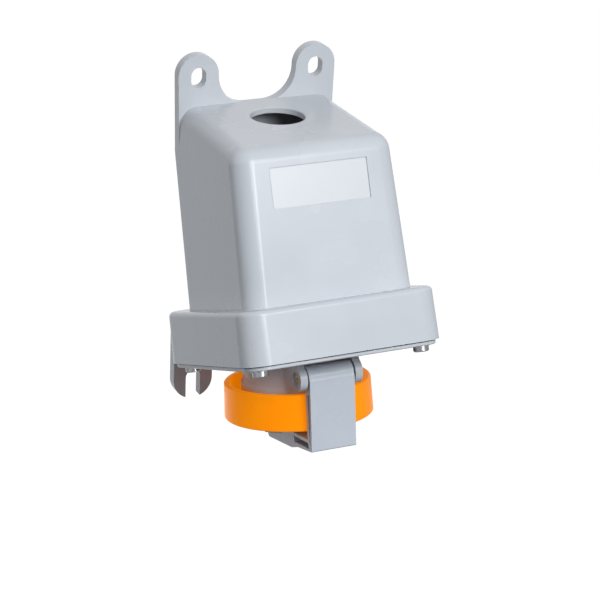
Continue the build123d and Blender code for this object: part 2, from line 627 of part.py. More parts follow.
# Contact sleeves and their terminal screws
for name, angle in CONTACT_HOURS.items():
    pin = pin_size(name) / 2
    sleeve_end = CARRIER_END - CARRIER_FRONT_WEB - FIT_CLEARANCE
    block = pin + TERMINAL_WALL
    with BuildPart() as contact:
        with BuildSketch(SOCKET.offset(block_rear)):
            with Locations(contact_spot(angle)):
                Circle(block)
        extrude(amount=BLOCK_LENGTH - FIT_CLEARANCE)
        with BuildSketch(SOCKET.offset(block_seat - 1)):
            with Locations(contact_spot(angle)):
                Circle(pin + CONTACT_WALL)
        extrude(amount=sleeve_end - block_seat + 1)
        with BuildSketch(SOCKET.offset(sleeve_end)):
            with Locations(contact_spot(angle)):
                Circle(pin)
        extrude(amount=-PIN_DEPTH, mode=Mode.SUBTRACT)
        with BuildSketch(SOCKET.offset(block_rear)):
            with Locations(contact_spot(angle)):
                Circle(WIRE_BORE_DIAMETER / 2)
        extrude(amount=WIRE_BORE_DEPTH, mode=Mode.SUBTRACT)
        with BuildSketch(terminal_plane(angle)):
            Circle(TERMINAL_SCREW_DIAMETER / 2 + FIT_CLEARANCE)
        extrude(amount=block + 1, mode=Mode.SUBTRACT)
        with BuildSketch(SOCKET.offset(sleeve_end)):
            with Locations(contact_spot(angle)):
                Rectangle(2 * block, CONTACT_SLIT)
        extrude(amount=-PIN_DEPTH / 2, mode=Mode.SUBTRACT)
    contact.part.label = f"{name}_contact"
    export_step(contact.part, f"parts/{name}_contact.step")

    screw_plane = terminal_plane(angle)
    with BuildPart() as terminal_screw:
        with BuildSketch(screw_plane.offset(WIRE_BORE_DIAMETER / 2 - 1)):
            Circle(TERMINAL_SCREW_DIAMETER / 2)
        extrude(amount=block - WIRE_BORE_DIAMETER / 2 + 1 + HOLE_CLEARANCE)
        with BuildSketch(screw_plane.offset(block + HOLE_CLEARANCE)):
            Circle(TERMINAL_SCREW_HEAD / 2)
        extrude(amount=TERMINAL_SCREW_SINK)
        with BuildSketch(screw_plane.offset(block + HOLE_CLEARANCE + TERMINAL_SCREW_SINK)):
            Rectangle(TERMINAL_SCREW_HEAD, SCREWDRIVER_SLOT)
        extrude(amount=-TERMINAL_SCREW_SINK / 2, mode=Mode.SUBTRACT)
    terminal_screw.part.label = f"{name}_terminal_screw"
    export_step(terminal_screw.part, f"parts/{name}_terminal_screw.step")

# Two screws that hold the carrier to the barrel's floor
for name, side in (("left", -1), ("right", 1)):
    with BuildPart() as carrier_screw:
        with BuildSketch(SOCKET.offset(block_seat - CARRIER_SCREW_HEAD_HEIGHT)):
            with Locations((side * CARRIER_SCREW_RADIUS, 0)):
                Circle(CARRIER_SCREW_HEAD / 2)
        extrude(amount=CARRIER_SCREW_HEAD_HEIGHT)
        with BuildSketch(SOCKET.offset(block_seat)):
            with Locations((side * CARRIER_SCREW_RADIUS, 0)):
                Circle(CARRIER_SCREW_DIAMETER / 2)
        extrude(amount=BARREL_REAR - block_seat + CARRIER_SCREW_DEPTH - HOLE_CLEARANCE)
        with BuildSketch(SOCKET.offset(block_seat - CARRIER_SCREW_HEAD_HEIGHT)):
            with Locations((side * CARRIER_SCREW_RADIUS, 0)):
                Rectangle(CARRIER_SCREW_HEAD, SCREWDRIVER_SLOT)
        extrude(amount=CARRIER_SCREW_HEAD_HEIGHT / 2, mode=Mode.SUBTRACT)
    carrier_screw.part.label = f"carrier_screw_{name}"
    export_step(carrier_screw.part, f"parts/carrier_screw_{name}.step")

# Four flange screws with washers
head_seat = plate_face + WASHER_THICKNESS
for number, place in enumerate(screw_places, start=1):
    with BuildPart() as washer:
        with BuildSketch(SKIRT.offset(plate_face)):
            with Locations(place):
                Circle(WASHER_DIAMETER / 2)
                Circle(SCREW_SHANK_DIAMETER / 2 + HOLE_CLEARANCE, mode=Mode.SUBTRACT)
        extrude(amount=WASHER_THICKNESS)
    washer.part.label = f"flange_washer_{number}"
    export_step(washer.part, f"parts/flange_washer_{number}.step")

    with BuildPart() as flange_screw:
        with BuildSketch(SKIRT.offset(head_seat)):
            with Locations(place):
                Circle(SCREW_HEAD_DIAMETER / 2)
        extrude(amount=SCREW_HEAD_HEIGHT)
        head_edge = flange_screw.faces().sort_by(Axis(SKIRT.origin, SKIRT.z_dir))[-1].edges()
        chamfer(head_edge, SCREW_HEAD_CHAMFER)
        with BuildSketch(SKIRT.offset(head_seat + SCREW_HEAD_HEIGHT)):
            with Locations(place):
                RegularPolygon(SCREW_RECESS_DIAMETER / 2, 6)
        extrude(amount=-SCREW_RECESS_DEPTH, mode=Mode.SUBTRACT)
        with BuildSketch(SKIRT.offset(head_seat)):
            with Locations(place):
                Circle(SCREW_SHANK_DIAMETER / 2)
        extrude(amount=-(head_seat + SCREW_LENGTH - 1))
    flange_screw.part.label = f"flange_screw_{number}"
    export_step(flange_screw.part, f"parts/flange_screw_{number}.step")

# Hinge pin
with BuildPart() as hinge_pin:
    with BuildSketch(SOCKET_SIDE.offset(-HINGE_WIDTH / 2 + PIN_RECESS_DEPTH)):
        with Locations((hinge_reach, HINGE_DROP)):
            Circle(pin_radius)
    extrude(amount=HINGE_WIDTH - 2 * PIN_RECESS_DEPTH)
    chamfer(hinge_pin.edges().filter_by(GeomType.CIRCLE), PIN_CHAMFER)
    for side in (-1, 1):
        with BuildSketch(SOCKET_SIDE.offset(side * (HINGE_WIDTH / 2 - PIN_RECESS_DEPTH))):
            with Locations((hinge_reach, HINGE_DROP)):
                Circle(PIN_DIMPLE_DIAMETER / 2)
        extrude(amount=-side * PIN_DIMPLE_DEPTH, mode=Mode.SUBTRACT)
hinge_pin.part.label = "hinge_pin"
export_step(hinge_pin.part, "parts/hinge_pin.step")

# Closing spring, coiled round the pin inside the lid's hinge barrel
with BuildPart() as hinge_spring:
    with BuildSketch(SOCKET_SIDE.offset(-SPRING_WIDTH / 2)):
        with Locations((hinge_reach, HINGE_DROP)):
            Circle(SPRING_OUTER_DIAMETER / 2)
            Circle(SPRING_OUTER_DIAMETER / 2 - SPRING_WIRE, mode=Mode.SUBTRACT)
    extrude(amount=SPRING_WIDTH)
    leg_end = barrel_radius + RING_CLEARANCE
    with BuildSketch(SOCKET_SIDE.offset(-SPRING_WIDTH / 2)):
        with Locations(((leg_end + hinge_reach) / 2, HINGE_DROP + SPRING_OUTER_DIAMETER / 2 - SPRING_WIRE / 2)):
            Rectangle(hinge_reach - leg_end, SPRING_WIRE)
    extrude(amount=SPRING_WIRE)
hinge_spring.part.label = "hinge_spring"
export_step(hinge_spring.part, "parts/hinge_spring.step")

# Lid: cap over the barrel, boss and strap below it, arm in front of the ring and hinge barrel
ring_room = ring_foot_radius + 2 * RING_CLEARANCE
arm_front_top = hinge_reach + LID_BARREL_RADIUS + ARM_PROUD
arm_front_low = arm_front_top - ARM_SLOPE_RUN
arm_inner = sqrt(ring_room**2 - lid_half**2)
with BuildPart() as lid:
    with BuildSketch(SOCKET_SIDE):
        with BuildLine():
            Polyline(
                (BOSS_BACK, cap_face + 1),
                (BOSS_BACK, BOSS_FOOT - 1),
                (BOSS_BACK + 1.2, BOSS_FOOT),
                (BOSS_FRONT, BOSS_FOOT - 0.8),
                (STRAP_STEP_BACK, STRAP_FOOT + 0.4),
                (arm_front_low, STRAP_FOOT - 0.6),
                (arm_front_top, HINGE_DROP + ARM_TOP_DROP),
                (arm_front_top - ARM_PROUD, HINGE_DROP - ARM_TOP_DROP / 2),
                (hinge_reach, HINGE_DROP - ARM_TOP_DROP / 2),
                (hinge_reach - 1, HINGE_DROP + LID_BARREL_RADIUS - 0.2),
                (arm_inner - 0.5, HINGE_DROP + LID_BARREL_RADIUS + 2),
                (arm_inner, STRAP_TOP),
                (BOSS_FRONT + 1, STRAP_TOP),
                (BOSS_FRONT, cap_face + 1),
                close=True,
            )
        make_face()
    extrude(amount=lid_half, both=True)
    front_edges = lid.edges().filter_by(Axis.X).filter_by_position(
        Axis(SOCKET.origin, SOCKET.y_dir), arm_front_low - 0.5, arm_front_low + 0.5
    )
    fillet(front_edges, LID_EDGE_FILLET)

    # Room for the ring behind the arm
    with BuildSketch(SOCKET.offset(RING_TOP - 3)):
        Circle(ring_room)
        Circle(cap_radius - 1, mode=Mode.SUBTRACT)
    extrude(amount=RING_HEIGHT + 3.5, mode=Mode.SUBTRACT)

    # Side pockets of the arm and the strap, with a rib across the corner between them
    arm_run = STRAP_FOOT - HINGE_DROP
    lean_in = ARM_SLOPE_RUN / arm_run
    for side in (-1, 1):
        outer_face = SOCKET_SIDE.offset(side * lid_half)
        with BuildSketch(outer_face):
            with BuildLine():
                Polyline(
                    (arm_inner + ARM_BACK_WALL, HINGE_DROP + LID_BARREL_RADIUS + 2),
                    (arm_front_top - ARM_FRONT_WALL - 6 * lean_in, HINGE_DROP + LID_BARREL_RADIUS + 2),
                    (arm_front_low - ARM_FRONT_WALL, STRAP_FOOT - 3.2),
                    (arm_inner + ARM_BACK_WALL, STRAP_TOP + 0.4),
                    close=True,
                )
            make_face()
            with BuildLine():
                Polyline(
                    (STRAP_POCKET_BACK, STRAP_TOP + STRAP_RIB),
                    (arm_inner - 0.4, STRAP_TOP + STRAP_RIB),
                    (arm_front_low - ARM_FRONT_WALL - CORNER_RIB, STRAP_FOOT - 1.7),
                    (STRAP_POCKET_BACK, STRAP_FOOT - 1.2),
                    close=True,
                )
            make_face()
        extrude(amount=-side * ARM_POCKET_DEPTH, mode=Mode.SUBTRACT)

    # Hinge barrel
    with BuildSketch(SOCKET_SIDE):
        with Locations((hinge_reach, HINGE_DROP)):
            Circle(LID_BARREL_RADIUS)
    extrude(amount=lid_half, both=True)

    # Cap with its rim round the gasket
    with BuildSketch(SOCKET_SECTION):
        with BuildLine():
            Polyline(
                (0, cap_face),
                (LID_GASKET_OUTER / 2, cap_face),
                (LID_GASKET_OUTER / 2, cap_face - CAP_RIM_HEIGHT),
                (cap_radius, cap_face - CAP_RIM_HEIGHT),
                (cap_radius, cap_back),
                (0, cap_back),
                close=True,
            )
        make_face()
    revolve(axis=SOCKET_AXIS)

    # Four hooks that hold the ring up against the cap
    hook_inner = ring_flange_bore - RING_CLEARANCE - HOOK_THICKNESS
    hook_foot = ring_foot + HOOK_GAP
    for turn in (40, 140, 220, 320):
        direction = SOCKET.x_dir * cos(radians(turn)) + SOCKET.y_dir * sin(radians(turn))
        HOOK = Plane(origin=SOCKET.origin, x_dir=direction, z_dir=direction.cross(SOCKET.z_dir))
        with BuildSketch(HOOK):
            with BuildLine():
                Polyline(
                    (hook_inner, cap_back - 1),
                    (hook_inner + HOOK_THICKNESS, cap_back - 1),
                    (hook_inner + HOOK_THICKNESS, hook_foot),
                    (hook_inner + HOOK_THICKNESS + HOOK_LIP, hook_foot),
                    (hook_inner + HOOK_THICKNESS, hook_foot + 2),
                    (hook_inner, hook_foot + 2),
                    close=True,
                )
            make_face()
        extrude(amount=HOOK_WIDTH / 2, both=True)

    # Pin hole and the pocket for the spring, open towards the barrel
    with BuildSketch(SOCKET_SIDE):
        with Locations((hinge_reach, HINGE_DROP)):
            Circle(pin_radius + FIT_CLEARANCE)
    extrude(amount=lid_half + 1, both=True, mode=Mode.SUBTRACT)
    with BuildSketch(SOCKET_SIDE):
        with Locations((hinge_reach, HINGE_DROP)):
            Circle(spring_pocket)
        with Locations((hinge_reach - LID_BARREL_RADIUS, HINGE_DROP)):
            Rectangle(1.5 * LID_BARREL_RADIUS, 4 * LID_BARREL_RADIUS)
    extrude(amount=SPRING_WIDTH / 2 + SPRING_POCKET_GAP, both=True, mode=Mode.SUBTRACT)
lid.part.label = "lid"
export_step(lid.part, "parts/lid.step")

# Lid gasket
with BuildPart() as lid_gasket:
    with BuildSketch(SOCKET.offset(BARREL_END + GASKET_GAP)):
        Circle(LID_GASKET_OUTER / 2 - FIT_CLEARANCE)
        Circle(LID_GASKET_INNER / 2, mode=Mode.SUBTRACT)
    extrude(amount=LID_GASKET_THICKNESS)
lid_gasket.part.label = "lid_gasket"
export_step(lid_gasket.part, "parts/lid_gasket.step")

# Locking ring with an inner flange under the cap and two bayonet lugs
with BuildPart() as locking_ring:
    with BuildSketch(SOCKET_SECTION):
        with BuildLine():
            Polyline(
                (ring_bore, RING_TOP),
                (ring_bore + RING_WALL_TOP, RING_TOP),
                (ring_foot_radius, ring_foot),
                (ring_flange_bore, ring_foot),
                (ring_flange_bore, ring_foot - RING_FLANGE_THICKNESS),
                (ring_bore, ring_foot - RING_FLANGE_THICKNESS),
                close=True,
            )
        make_face()
    revolve(axis=SOCKET_AXIS)
    outer_edges = locking_ring.faces().filter_by(GeomType.CONE).edges().filter_by(GeomType.CIRCLE)
    chamfer(outer_edges, RING_EDGE_CHAMFER)
    with BuildSketch(SOCKET.offset(RING_TOP)):
        Circle(ring_bore + 0.5)
        Circle(rim_radius + RING_LUG_GAP, mode=Mode.SUBTRACT)
        with BuildSketch(mode=Mode.INTERSECT):
            for turn in (0, 180):
                first = radians(turn + RING_LUG_ANGLE - RING_LUG_HALF_ANGLE)
                last = radians(turn + RING_LUG_ANGLE + RING_LUG_HALF_ANGLE)
                far = 2 * ring_bore
                with BuildLine():
                    Polyline(
                        (0, 0),
                        (far * cos(first), far * sin(first)),
                        (far * cos(last), far * sin(last)),
                        close=True,
                    )
                make_face()
    extrude(amount=RING_LUG_HEIGHT)
locking_ring.part.label = "locking_ring"
export_step(locking_ring.part, "parts/locking_ring.step")
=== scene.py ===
# %% [markdown]
# # A grey wall socket with a spring lid and a yellow locking ring
#
# This lesson dresses a finished CAD model of an industrial wall socket for a studio picture.
# The CAD gives every moulded form at its real size. What is added here is what a camera sees
# on top of those forms: soft moulded edges, plastic with a fine grain, turned brass, bright
# screws, rubber, a bare label and a real coil spring.

import json
import math

import bmesh
import bpy
from mathutils import Matrix, Vector

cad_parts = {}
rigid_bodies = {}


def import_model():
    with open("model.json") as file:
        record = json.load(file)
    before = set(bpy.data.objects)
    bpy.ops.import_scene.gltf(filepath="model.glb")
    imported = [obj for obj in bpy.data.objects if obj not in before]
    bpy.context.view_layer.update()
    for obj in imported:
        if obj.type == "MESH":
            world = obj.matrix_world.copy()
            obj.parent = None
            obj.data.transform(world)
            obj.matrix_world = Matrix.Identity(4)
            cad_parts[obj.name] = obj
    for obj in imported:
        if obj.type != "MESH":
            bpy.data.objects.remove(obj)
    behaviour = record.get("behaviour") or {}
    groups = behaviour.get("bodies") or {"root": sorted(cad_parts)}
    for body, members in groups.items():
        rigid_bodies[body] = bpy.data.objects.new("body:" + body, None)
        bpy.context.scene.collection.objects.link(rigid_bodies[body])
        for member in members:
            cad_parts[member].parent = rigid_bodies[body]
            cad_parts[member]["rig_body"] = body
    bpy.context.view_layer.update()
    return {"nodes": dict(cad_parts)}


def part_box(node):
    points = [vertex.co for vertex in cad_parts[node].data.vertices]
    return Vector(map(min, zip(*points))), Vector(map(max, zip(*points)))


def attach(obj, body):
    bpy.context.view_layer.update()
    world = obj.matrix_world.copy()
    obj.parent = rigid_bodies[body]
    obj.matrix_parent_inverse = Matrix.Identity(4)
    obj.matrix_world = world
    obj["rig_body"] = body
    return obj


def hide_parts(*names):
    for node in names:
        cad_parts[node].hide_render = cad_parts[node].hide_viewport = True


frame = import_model()
nodes = frame["nodes"]
MM = 0.001

# %% [markdown]
# ## The camera
#
# The picture is taken from the front left and a little above, with a long lens. The camera's
# place, turn and lens were worked out from the straight edges and round holes of the socket.

# %% Place the camera
CAMERA_TURN = math.radians(25.5)
CAMERA_RISE = math.radians(23.04)
CAMERA_ROLL = math.radians(2.26)
CAMERA_DISTANCE = 1087.8 * MM
CAMERA_TARGET = Vector((8.94, -43.05, -25.83)) * MM
FOCAL_PIXELS = 2262.67
FRAME_PIXELS = 600
SENSOR = 36.0
CLIP_NEAR = 0.05
CLIP_FAR = 50


def make_camera():
    """Adds the camera that looks at the socket from the front left."""
    back = Vector((
        -math.sin(CAMERA_TURN) * math.cos(CAMERA_RISE),
        -math.cos(CAMERA_TURN) * math.cos(CAMERA_RISE),
        math.sin(CAMERA_RISE),
    ))
    right = Vector((math.cos(CAMERA_TURN), -math.sin(CAMERA_TURN), 0))
    up = back.cross(right)
    turned_right = right * math.cos(CAMERA_ROLL) + up * math.sin(CAMERA_ROLL)
    turned_up = up * math.cos(CAMERA_ROLL) - right * math.sin(CAMERA_ROLL)
    place = CAMERA_TARGET + back * CAMERA_DISTANCE
    axes = Matrix((turned_right, turned_up, back)).transposed().to_4x4()
    bpy.ops.object.camera_add()
    camera = bpy.context.object
    camera.name = "studio_camera"
    camera.matrix_world = Matrix.Translation(place) @ axes
    camera.data.sensor_width = SENSOR
    camera.data.lens = SENSOR * FOCAL_PIXELS / FRAME_PIXELS
    camera.data.clip_start = CLIP_NEAR
    camera.data.clip_end = CLIP_FAR
    bpy.context.scene.camera = camera
    return camera


camera = make_camera()
print("camera at", [round(v, 4) for v in camera.location], "lens", round(camera.data.lens, 2))

# %% [markdown]
# ## The studio
#
# A large soft lamp stands high in front of the socket, so that the tilted front and the top
# are bright while the barrel stays in the shade of the skirt. A slim lamp that only shows in
# reflections draws the bright line down the rounded corner, and a wide weak lamp on the left
# fills the shaded side. The floor is a pale sheet far below, because the real socket hangs
# on a wall.

# %% Colour and node helpers
SOCKET_CENTRE = Vector((0.0, -60.0, -10.0)) * MM


def linear(hex_colour):
    """Turns an sRGB hex colour into the linear colour that nodes expect."""
    channels = [int(hex_colour[i:i + 2], 16) / 255 for i in (1, 3, 5)]
    flat = [c / 12.92 if c <= 0.04045 else ((c + 0.055) / 1.055) ** 2.4 for c in channels]
    return (*flat, 1.0)


def add_node(tree, kind, settings=None, **links):
    """Adds one node, sets its values and links its inputs, and returns the node.

    A setting named after an input sets that input. A link is given as (node, output name).
    """
    node = tree.nodes.new(kind)
    for key, value in (settings or {}).items():
        if isinstance(key, int) or key in node.inputs:
            node.inputs[key].default_value = value
        else:
            setattr(node, key, value)
    for key, (source, output) in links.items():
        slot = int(key[1:]) if key[0] == "_" and key[1:].isdigit() else key.replace("_", " ")
        tree.links.new(source.outputs[output], node.inputs[slot])
    return node


def new_material(name):
    """Makes an empty node material and returns it with its tree and output node."""
    material = bpy.data.materials.new(name)
    material.use_nodes = True
    tree = material.node_tree
    tree.nodes.clear()
    output = tree.nodes.new("ShaderNodeOutputMaterial")
    return material, tree, output


print("socket centre", [round(v, 3) for v in SOCKET_CENTRE])

# %% White world
# the white that a camera or a clear ray sees, and the share of it in reflections
WORLD_SEEN = 1.0
SHINE_SHARE = 0.5
# the room that lights the socket: a bright backdrop behind, paler above than below
BACKDROP_GLOW = 1.2
BACKDROP_EDGE = {"From Min": 0.60, "From Max": 0.88}
ROOM_ABOVE = "#A3A6AA"
ROOM_BELOW = "#303D4A"
ROOM_HORIZON = {"From Min": -0.45, "From Max": 0.30}
WHITE = (1, 1, 1, 1)


def make_world():
    """A dim room with a bright backdrop behind the socket, all of it white to the camera."""
    world = bpy.data.worlds.new("studio_world")
    bpy.context.scene.world = world
    world.use_nodes = True
    tree = world.node_tree
    tree.nodes.clear()
    path = add_node(tree, "ShaderNodeLightPath")
    shine = add_node(tree, "ShaderNodeMath", {"operation": "MULTIPLY", 1: SHINE_SHARE},
                     _0=(path, "Is Glossy Ray"))
    sharp = add_node(tree, "ShaderNodeMath", {"operation": "MAXIMUM"},
                     _0=(shine, 0), _1=(path, "Is Transmission Ray"))
    seen = add_node(tree, "ShaderNodeMath", {"operation": "MAXIMUM"},
                    _0=(path, "Is Camera Ray"), _1=(sharp, 0))
    place = add_node(tree, "ShaderNodeTexCoord")
    way = add_node(tree, "ShaderNodeSeparateXYZ", None, Vector=(place, "Generated"))
    soft = {"interpolation_type": "SMOOTHSTEP"}
    behind = add_node(tree, "ShaderNodeMapRange", {**soft, **BACKDROP_EDGE}, Value=(way, "Y"))
    height = add_node(tree, "ShaderNodeMapRange", {**soft, **ROOM_HORIZON}, Value=(way, "Z"))
    shade = add_node(tree, "ShaderNodeMix",
                     {"data_type": "RGBA", 6: linear(ROOM_BELOW), 7: linear(ROOM_ABOVE)},
                     _0=(height, "Result"))
    lit = add_node(tree, "ShaderNodeMix", {"data_type": "RGBA", 7: (BACKDROP_GLOW,) * 3 + (1.0,)},
                   _0=(behind, "Result"), _6=(shade, 2))
    room = add_node(tree, "ShaderNodeBackground", {"Strength": 1.0}, Color=(lit, 2))
    white = add_node(tree, "ShaderNodeBackground", {"Color": WHITE, "Strength": WORLD_SEEN})
    mix = add_node(tree, "ShaderNodeMixShader", None, _0=(seen, 0), _1=(room, 0), _2=(white, 0))
    add_node(tree, "ShaderNodeOutputWorld", None, Surface=(mix, 0))


make_world()

# %% Lamps
KEY_WAY = Vector((0.130, -0.809, 0.573))
KEY_SIZE = (0.50, 0.40)
KEY_POWER = 9.1
KEY_COLOUR = "#F9FBFF"
STRIP_WAY = Vector((0.17, -0.93, 0.32))
STRIP_SIZE = (0.06, 0.50)
STRIP_POWER = 2.3
FILL_WAY = Vector((-0.93, -0.10, 0.35))
FILL_SIZE = (0.80, 0.80)
FILL_POWER = 0.9
LAMP_DISTANCE = 1.0


def add_lamp(name, way, size, power, colour="#FFFFFF", gloss_only=False):
    """Adds a rectangular lamp that faces the socket from a direction."""
    bpy.ops.object.light_add(type="AREA", location=SOCKET_CENTRE + way * LAMP_DISTANCE)
    lamp = bpy.context.object
    lamp.name = name
    lamp.data.shape = "RECTANGLE"
    lamp.data.size, lamp.data.size_y = size
    lamp.data.energy = power
    lamp.data.color = linear(colour)[:3]
    lamp.rotation_mode = "QUATERNION"
    lamp.rotation_quaternion = (-way).to_track_quat("-Z", "Y")
    lamp.visible_camera = False
    if gloss_only:
        lamp.visible_diffuse = False
    return lamp


key_lamp = add_lamp("key_lamp", KEY_WAY, KEY_SIZE, KEY_POWER, KEY_COLOUR)
strip_lamp = add_lamp("strip_lamp", STRIP_WAY, STRIP_SIZE, STRIP_POWER, gloss_only=True)
fill_lamp = add_lamp("fill_lamp", FILL_WAY, FILL_SIZE, FILL_POWER)
print("lamps", key_lamp.name, strip_lamp.name, fill_lamp.name, "at", LAMP_DISTANCE, "m")

# %% Pale floor
FLOOR_HEIGHT = -0.40
FLOOR_SPAN = 30.0
FLOOR_PAPER = "#F4F4F4"
FLOOR_GLOW = 1.12
FLOOR_GLOW_SHARE = 0.85


def make_floor():
    """A pale sheet that the camera sees as white and that throws no light on the socket."""
    bpy.ops.mesh.primitive_plane_add(size=FLOOR_SPAN, location=(0, 0, FLOOR_HEIGHT))
    floor = bpy.context.object
    floor.name = "studio_floor"
    material, tree, output = new_material("studio_paper")
    paper = add_node(tree, "ShaderNodeBsdfDiffuse", {"Color": linear(FLOOR_PAPER)})
    glow = add_node(tree, "ShaderNodeEmission", {"Color": WHITE, "Strength": FLOOR_GLOW})
    mix = add_node(tree, "ShaderNodeMixShader", {"Fac": FLOOR_GLOW_SHARE},
                   _1=(paper, 0), _2=(glow, 0))
    tree.links.new(mix.outputs[0], output.inputs["Surface"])
    floor.data.materials.append(material)
    floor.visible_diffuse = False
    floor.visible_glossy = False


make_floor()
bpy.context.scene.view_settings.view_transform = "Standard"
print("floor at", FLOOR_HEIGHT, "m")

# %% [markdown]
# ## The finishes
#
# The hood, the flange and the lid are injection-moulded polyamide. Its mould is spark-eroded,
# so the skin is satin with a fine grain, and its grey drifts a little where the melt flowed.
# The ring is the same plastic in a strong yellow, from a smoother mould. Seals are matt
# rubber, contacts and the hinge pin are brass, and the screws are stainless steel.

# %% Nodes that every finish shares


def noise(tree, place, size_mm, detail, roughness=0.5):
    """A cloudy pattern on the object's own coordinates, with features of a size."""
    return add_node(tree, "ShaderNodeTexNoise",
                    {"Scale": 1 / (size_mm * MM), "Detail": detail, "Roughness": roughness},
                    Vector=(place, "Object"))


def two_tone(tree, source, stops, low_colour, high_colour):
    """Colours a pattern from one tone to another between two stops."""
    ramp = add_node(tree, "ShaderNodeValToRGB", None, Fac=(source, "Fac"))
    for element, stop, tone in zip(ramp.color_ramp.elements, stops, (low_colour, high_colour)):
        element.position = stop
        element.color = linear(tone)
    return ramp


def spread(tree, source, low, high, window=(0.0, 1.0)):
    """Spreads a pattern, or a window of its values, over a range."""
    return add_node(tree, "ShaderNodeMapRange",
                    {"From Min": window[0], "From Max": window[1], "To Min": low, "To Max": high},
                    Value=(source, "Fac"))


def relief(tree, source, strength, depth_mm):
    """Turns a pattern into bumps of a depth."""
    return add_node(tree, "ShaderNodeBump", {"Strength": strength, "Distance": depth_mm * MM},
                    Height=(source, "Fac"))


def skin(tree, output, settings, tone, bump, **links):
    """Adds the surface shader with its roughness and relief and sends it to the output."""
    shader = add_node(tree, "ShaderNodeBsdfPrincipled", settings,
                      Roughness=(tone, "Result"), Normal=(bump, "Normal"), **links)
    tree.links.new(shader.outputs["BSDF"], output.inputs["Surface"])


print("finish nodes ready")

# %% Moulded plastic
MELT_STOPS = (0.3, 0.7)
MELT_WINDOW = (0.35, 0.65)
DULLER_BY = 0.04
SHINIER_BY = 0.03


def moulded_plastic(name, grey, drift, drift_mm, grain_mm, grain_depth_mm, roughness, ior,
                    painted_glow=0.0):
    """Satin moulded plastic: a slow drift of colour, uneven gloss, a fine mould grain and an
    optional painted glow.
    """
    material, tree, output = new_material(name)
    place = add_node(tree, "ShaderNodeTexCoord")
    slow = noise(tree, place, drift_mm, 3.0, 0.55)
    fine = noise(tree, place, grain_mm, 2.0, 0.6)
    colour = two_tone(tree, slow, MELT_STOPS, drift, grey)
    gloss = spread(tree, slow, roughness - SHINIER_BY, roughness + DULLER_BY, MELT_WINDOW)
    bump = relief(tree, fine, 0.6, grain_depth_mm)
    # the emission is a painted glow: it makes the plastic brighter than the lamps light it, also
    # where it is in shade
    skin(tree, output, {"IOR": ior, "Emission Color": linear(grey), "Emission Strength": painted_glow},
         gloss, bump, Base_Color=(colour, "Color"))
    return material


# polyamide, spark-eroded mould: a satin skin whose grain is about 0.3 mm
housing_grey = moulded_plastic(
    "polyamide_spark_eroded_grey", "#C0C3C7", "#BBBFC3", drift_mm=38, grain_mm=0.35,
    grain_depth_mm=0.006, roughness=0.25, ior=1.36)
# the lid comes from a smoother mould and is a shade bluer
lid_grey = moulded_plastic(
    "polyamide_satin_lid_grey", "#C2C8CF", "#BDC3CA", drift_mm=24, grain_mm=0.30,
    grain_depth_mm=0.005, roughness=0.28, ior=1.36)
# the ring is a smooth, strongly dyed polyamide with a painted glow added to its colour, so that it
# stays bright yellow in the shade
ring_yellow = moulded_plastic(
    "polyamide_smooth_signal_yellow", "#DC7C00", "#D47000", drift_mm=20, grain_mm=0.30,
    grain_depth_mm=0.003, roughness=0.26, ior=1.2, painted_glow=0.70)
# the carrier that holds the contacts is dark heat-proof polyamide
carrier_dark = moulded_plastic(
    "polyamide_heatproof_dark", "#33363A", "#2E3135", drift_mm=15, grain_mm=0.30,
    grain_depth_mm=0.008, roughness=0.45, ior=1.48)
print("plastics ready")

# %% Rubber, brass and steel
RUBBER_TONES = (0.62, 0.82)
STAIN_STOPS = (0.32, 0.66)
POLISHED_BY = 0.06
SCRATCHED_BY = 0.12


def rubber_skin(name, shade, grain_mm):
    """Matt seal rubber with a dusty, slightly uneven skin."""
    material, tree, output = new_material(name)
    place = add_node(tree, "ShaderNodeTexCoord")
    dust = noise(tree, place, grain_mm, 4.0)
    tone = spread(tree, dust, *RUBBER_TONES)
    bump = relief(tree, dust, 0.5, 0.02)
    skin(tree, output, {"Base Color": linear(shade), "IOR": 1.5}, tone, bump)
    return material


def turned_metal(name, bright, dull, roughness, stain_mm, groove_mm):
    """Turned or rolled metal: fine tool marks and small stains that dull its shine."""
    material, tree, output = new_material(name)
    place = add_node(tree, "ShaderNodeTexCoord")
    stain = noise(tree, place, stain_mm, 5.0)
    marks = noise(tree, place, groove_mm, 2.0)
    colour = two_tone(tree, stain, STAIN_STOPS, dull, bright)
    shine = spread(tree, marks, roughness - POLISHED_BY, roughness + SCRATCHED_BY)
    bump = relief(tree, marks, 0.4, 0.01)
    skin(tree, output, {"Metallic": 1.0}, shine, bump, Base_Color=(colour, "Color"))
    return material


seal_rubber = rubber_skin("moulded_seal_rubber", "#2B2D2E", 1.2)
contact_brass = turned_metal("turned_brass", "#D8B468", "#B08A42", 0.30, 2.5, 0.25)
pin_brass = turned_metal("passivated_brass_pin", "#B9B486", "#8C8A5C", 0.30, 1.2, 0.20)
screw_steel = turned_metal("cold_headed_stainless_steel", "#ACAEAF", "#8A8C8E", 0.26, 1.6, 0.25)
spring_wire = turned_metal("drawn_spring_steel", "#C9CBCC", "#9A9C9D", 0.24, 1.5, 0.20)
print("rubber and metals ready")

# %% Label film
FILM_TONES = (0.26, 0.36)


def polyester_film(name, white, wave_mm):
    """Smooth polyester film: a pale sheet with a faint waviness from the glue."""
    material, tree, output = new_material(name)
    place = add_node(tree, "ShaderNodeTexCoord")
    wave = noise(tree, place, wave_mm, 1.0)
    tone = spread(tree, wave, *FILM_TONES)
    bump = relief(tree, wave, 0.3, 0.02)
    skin(tree, output, {"Base Color": linear(white), "IOR": 1.5}, tone, bump)
    return material


# blank silver-white film: lighter and smoother than the hood
label_film = polyester_film("polyester_label_film", "#C3C6C8", 6.0)
print("film ready")

# %% Give the CAD nodes their finishes


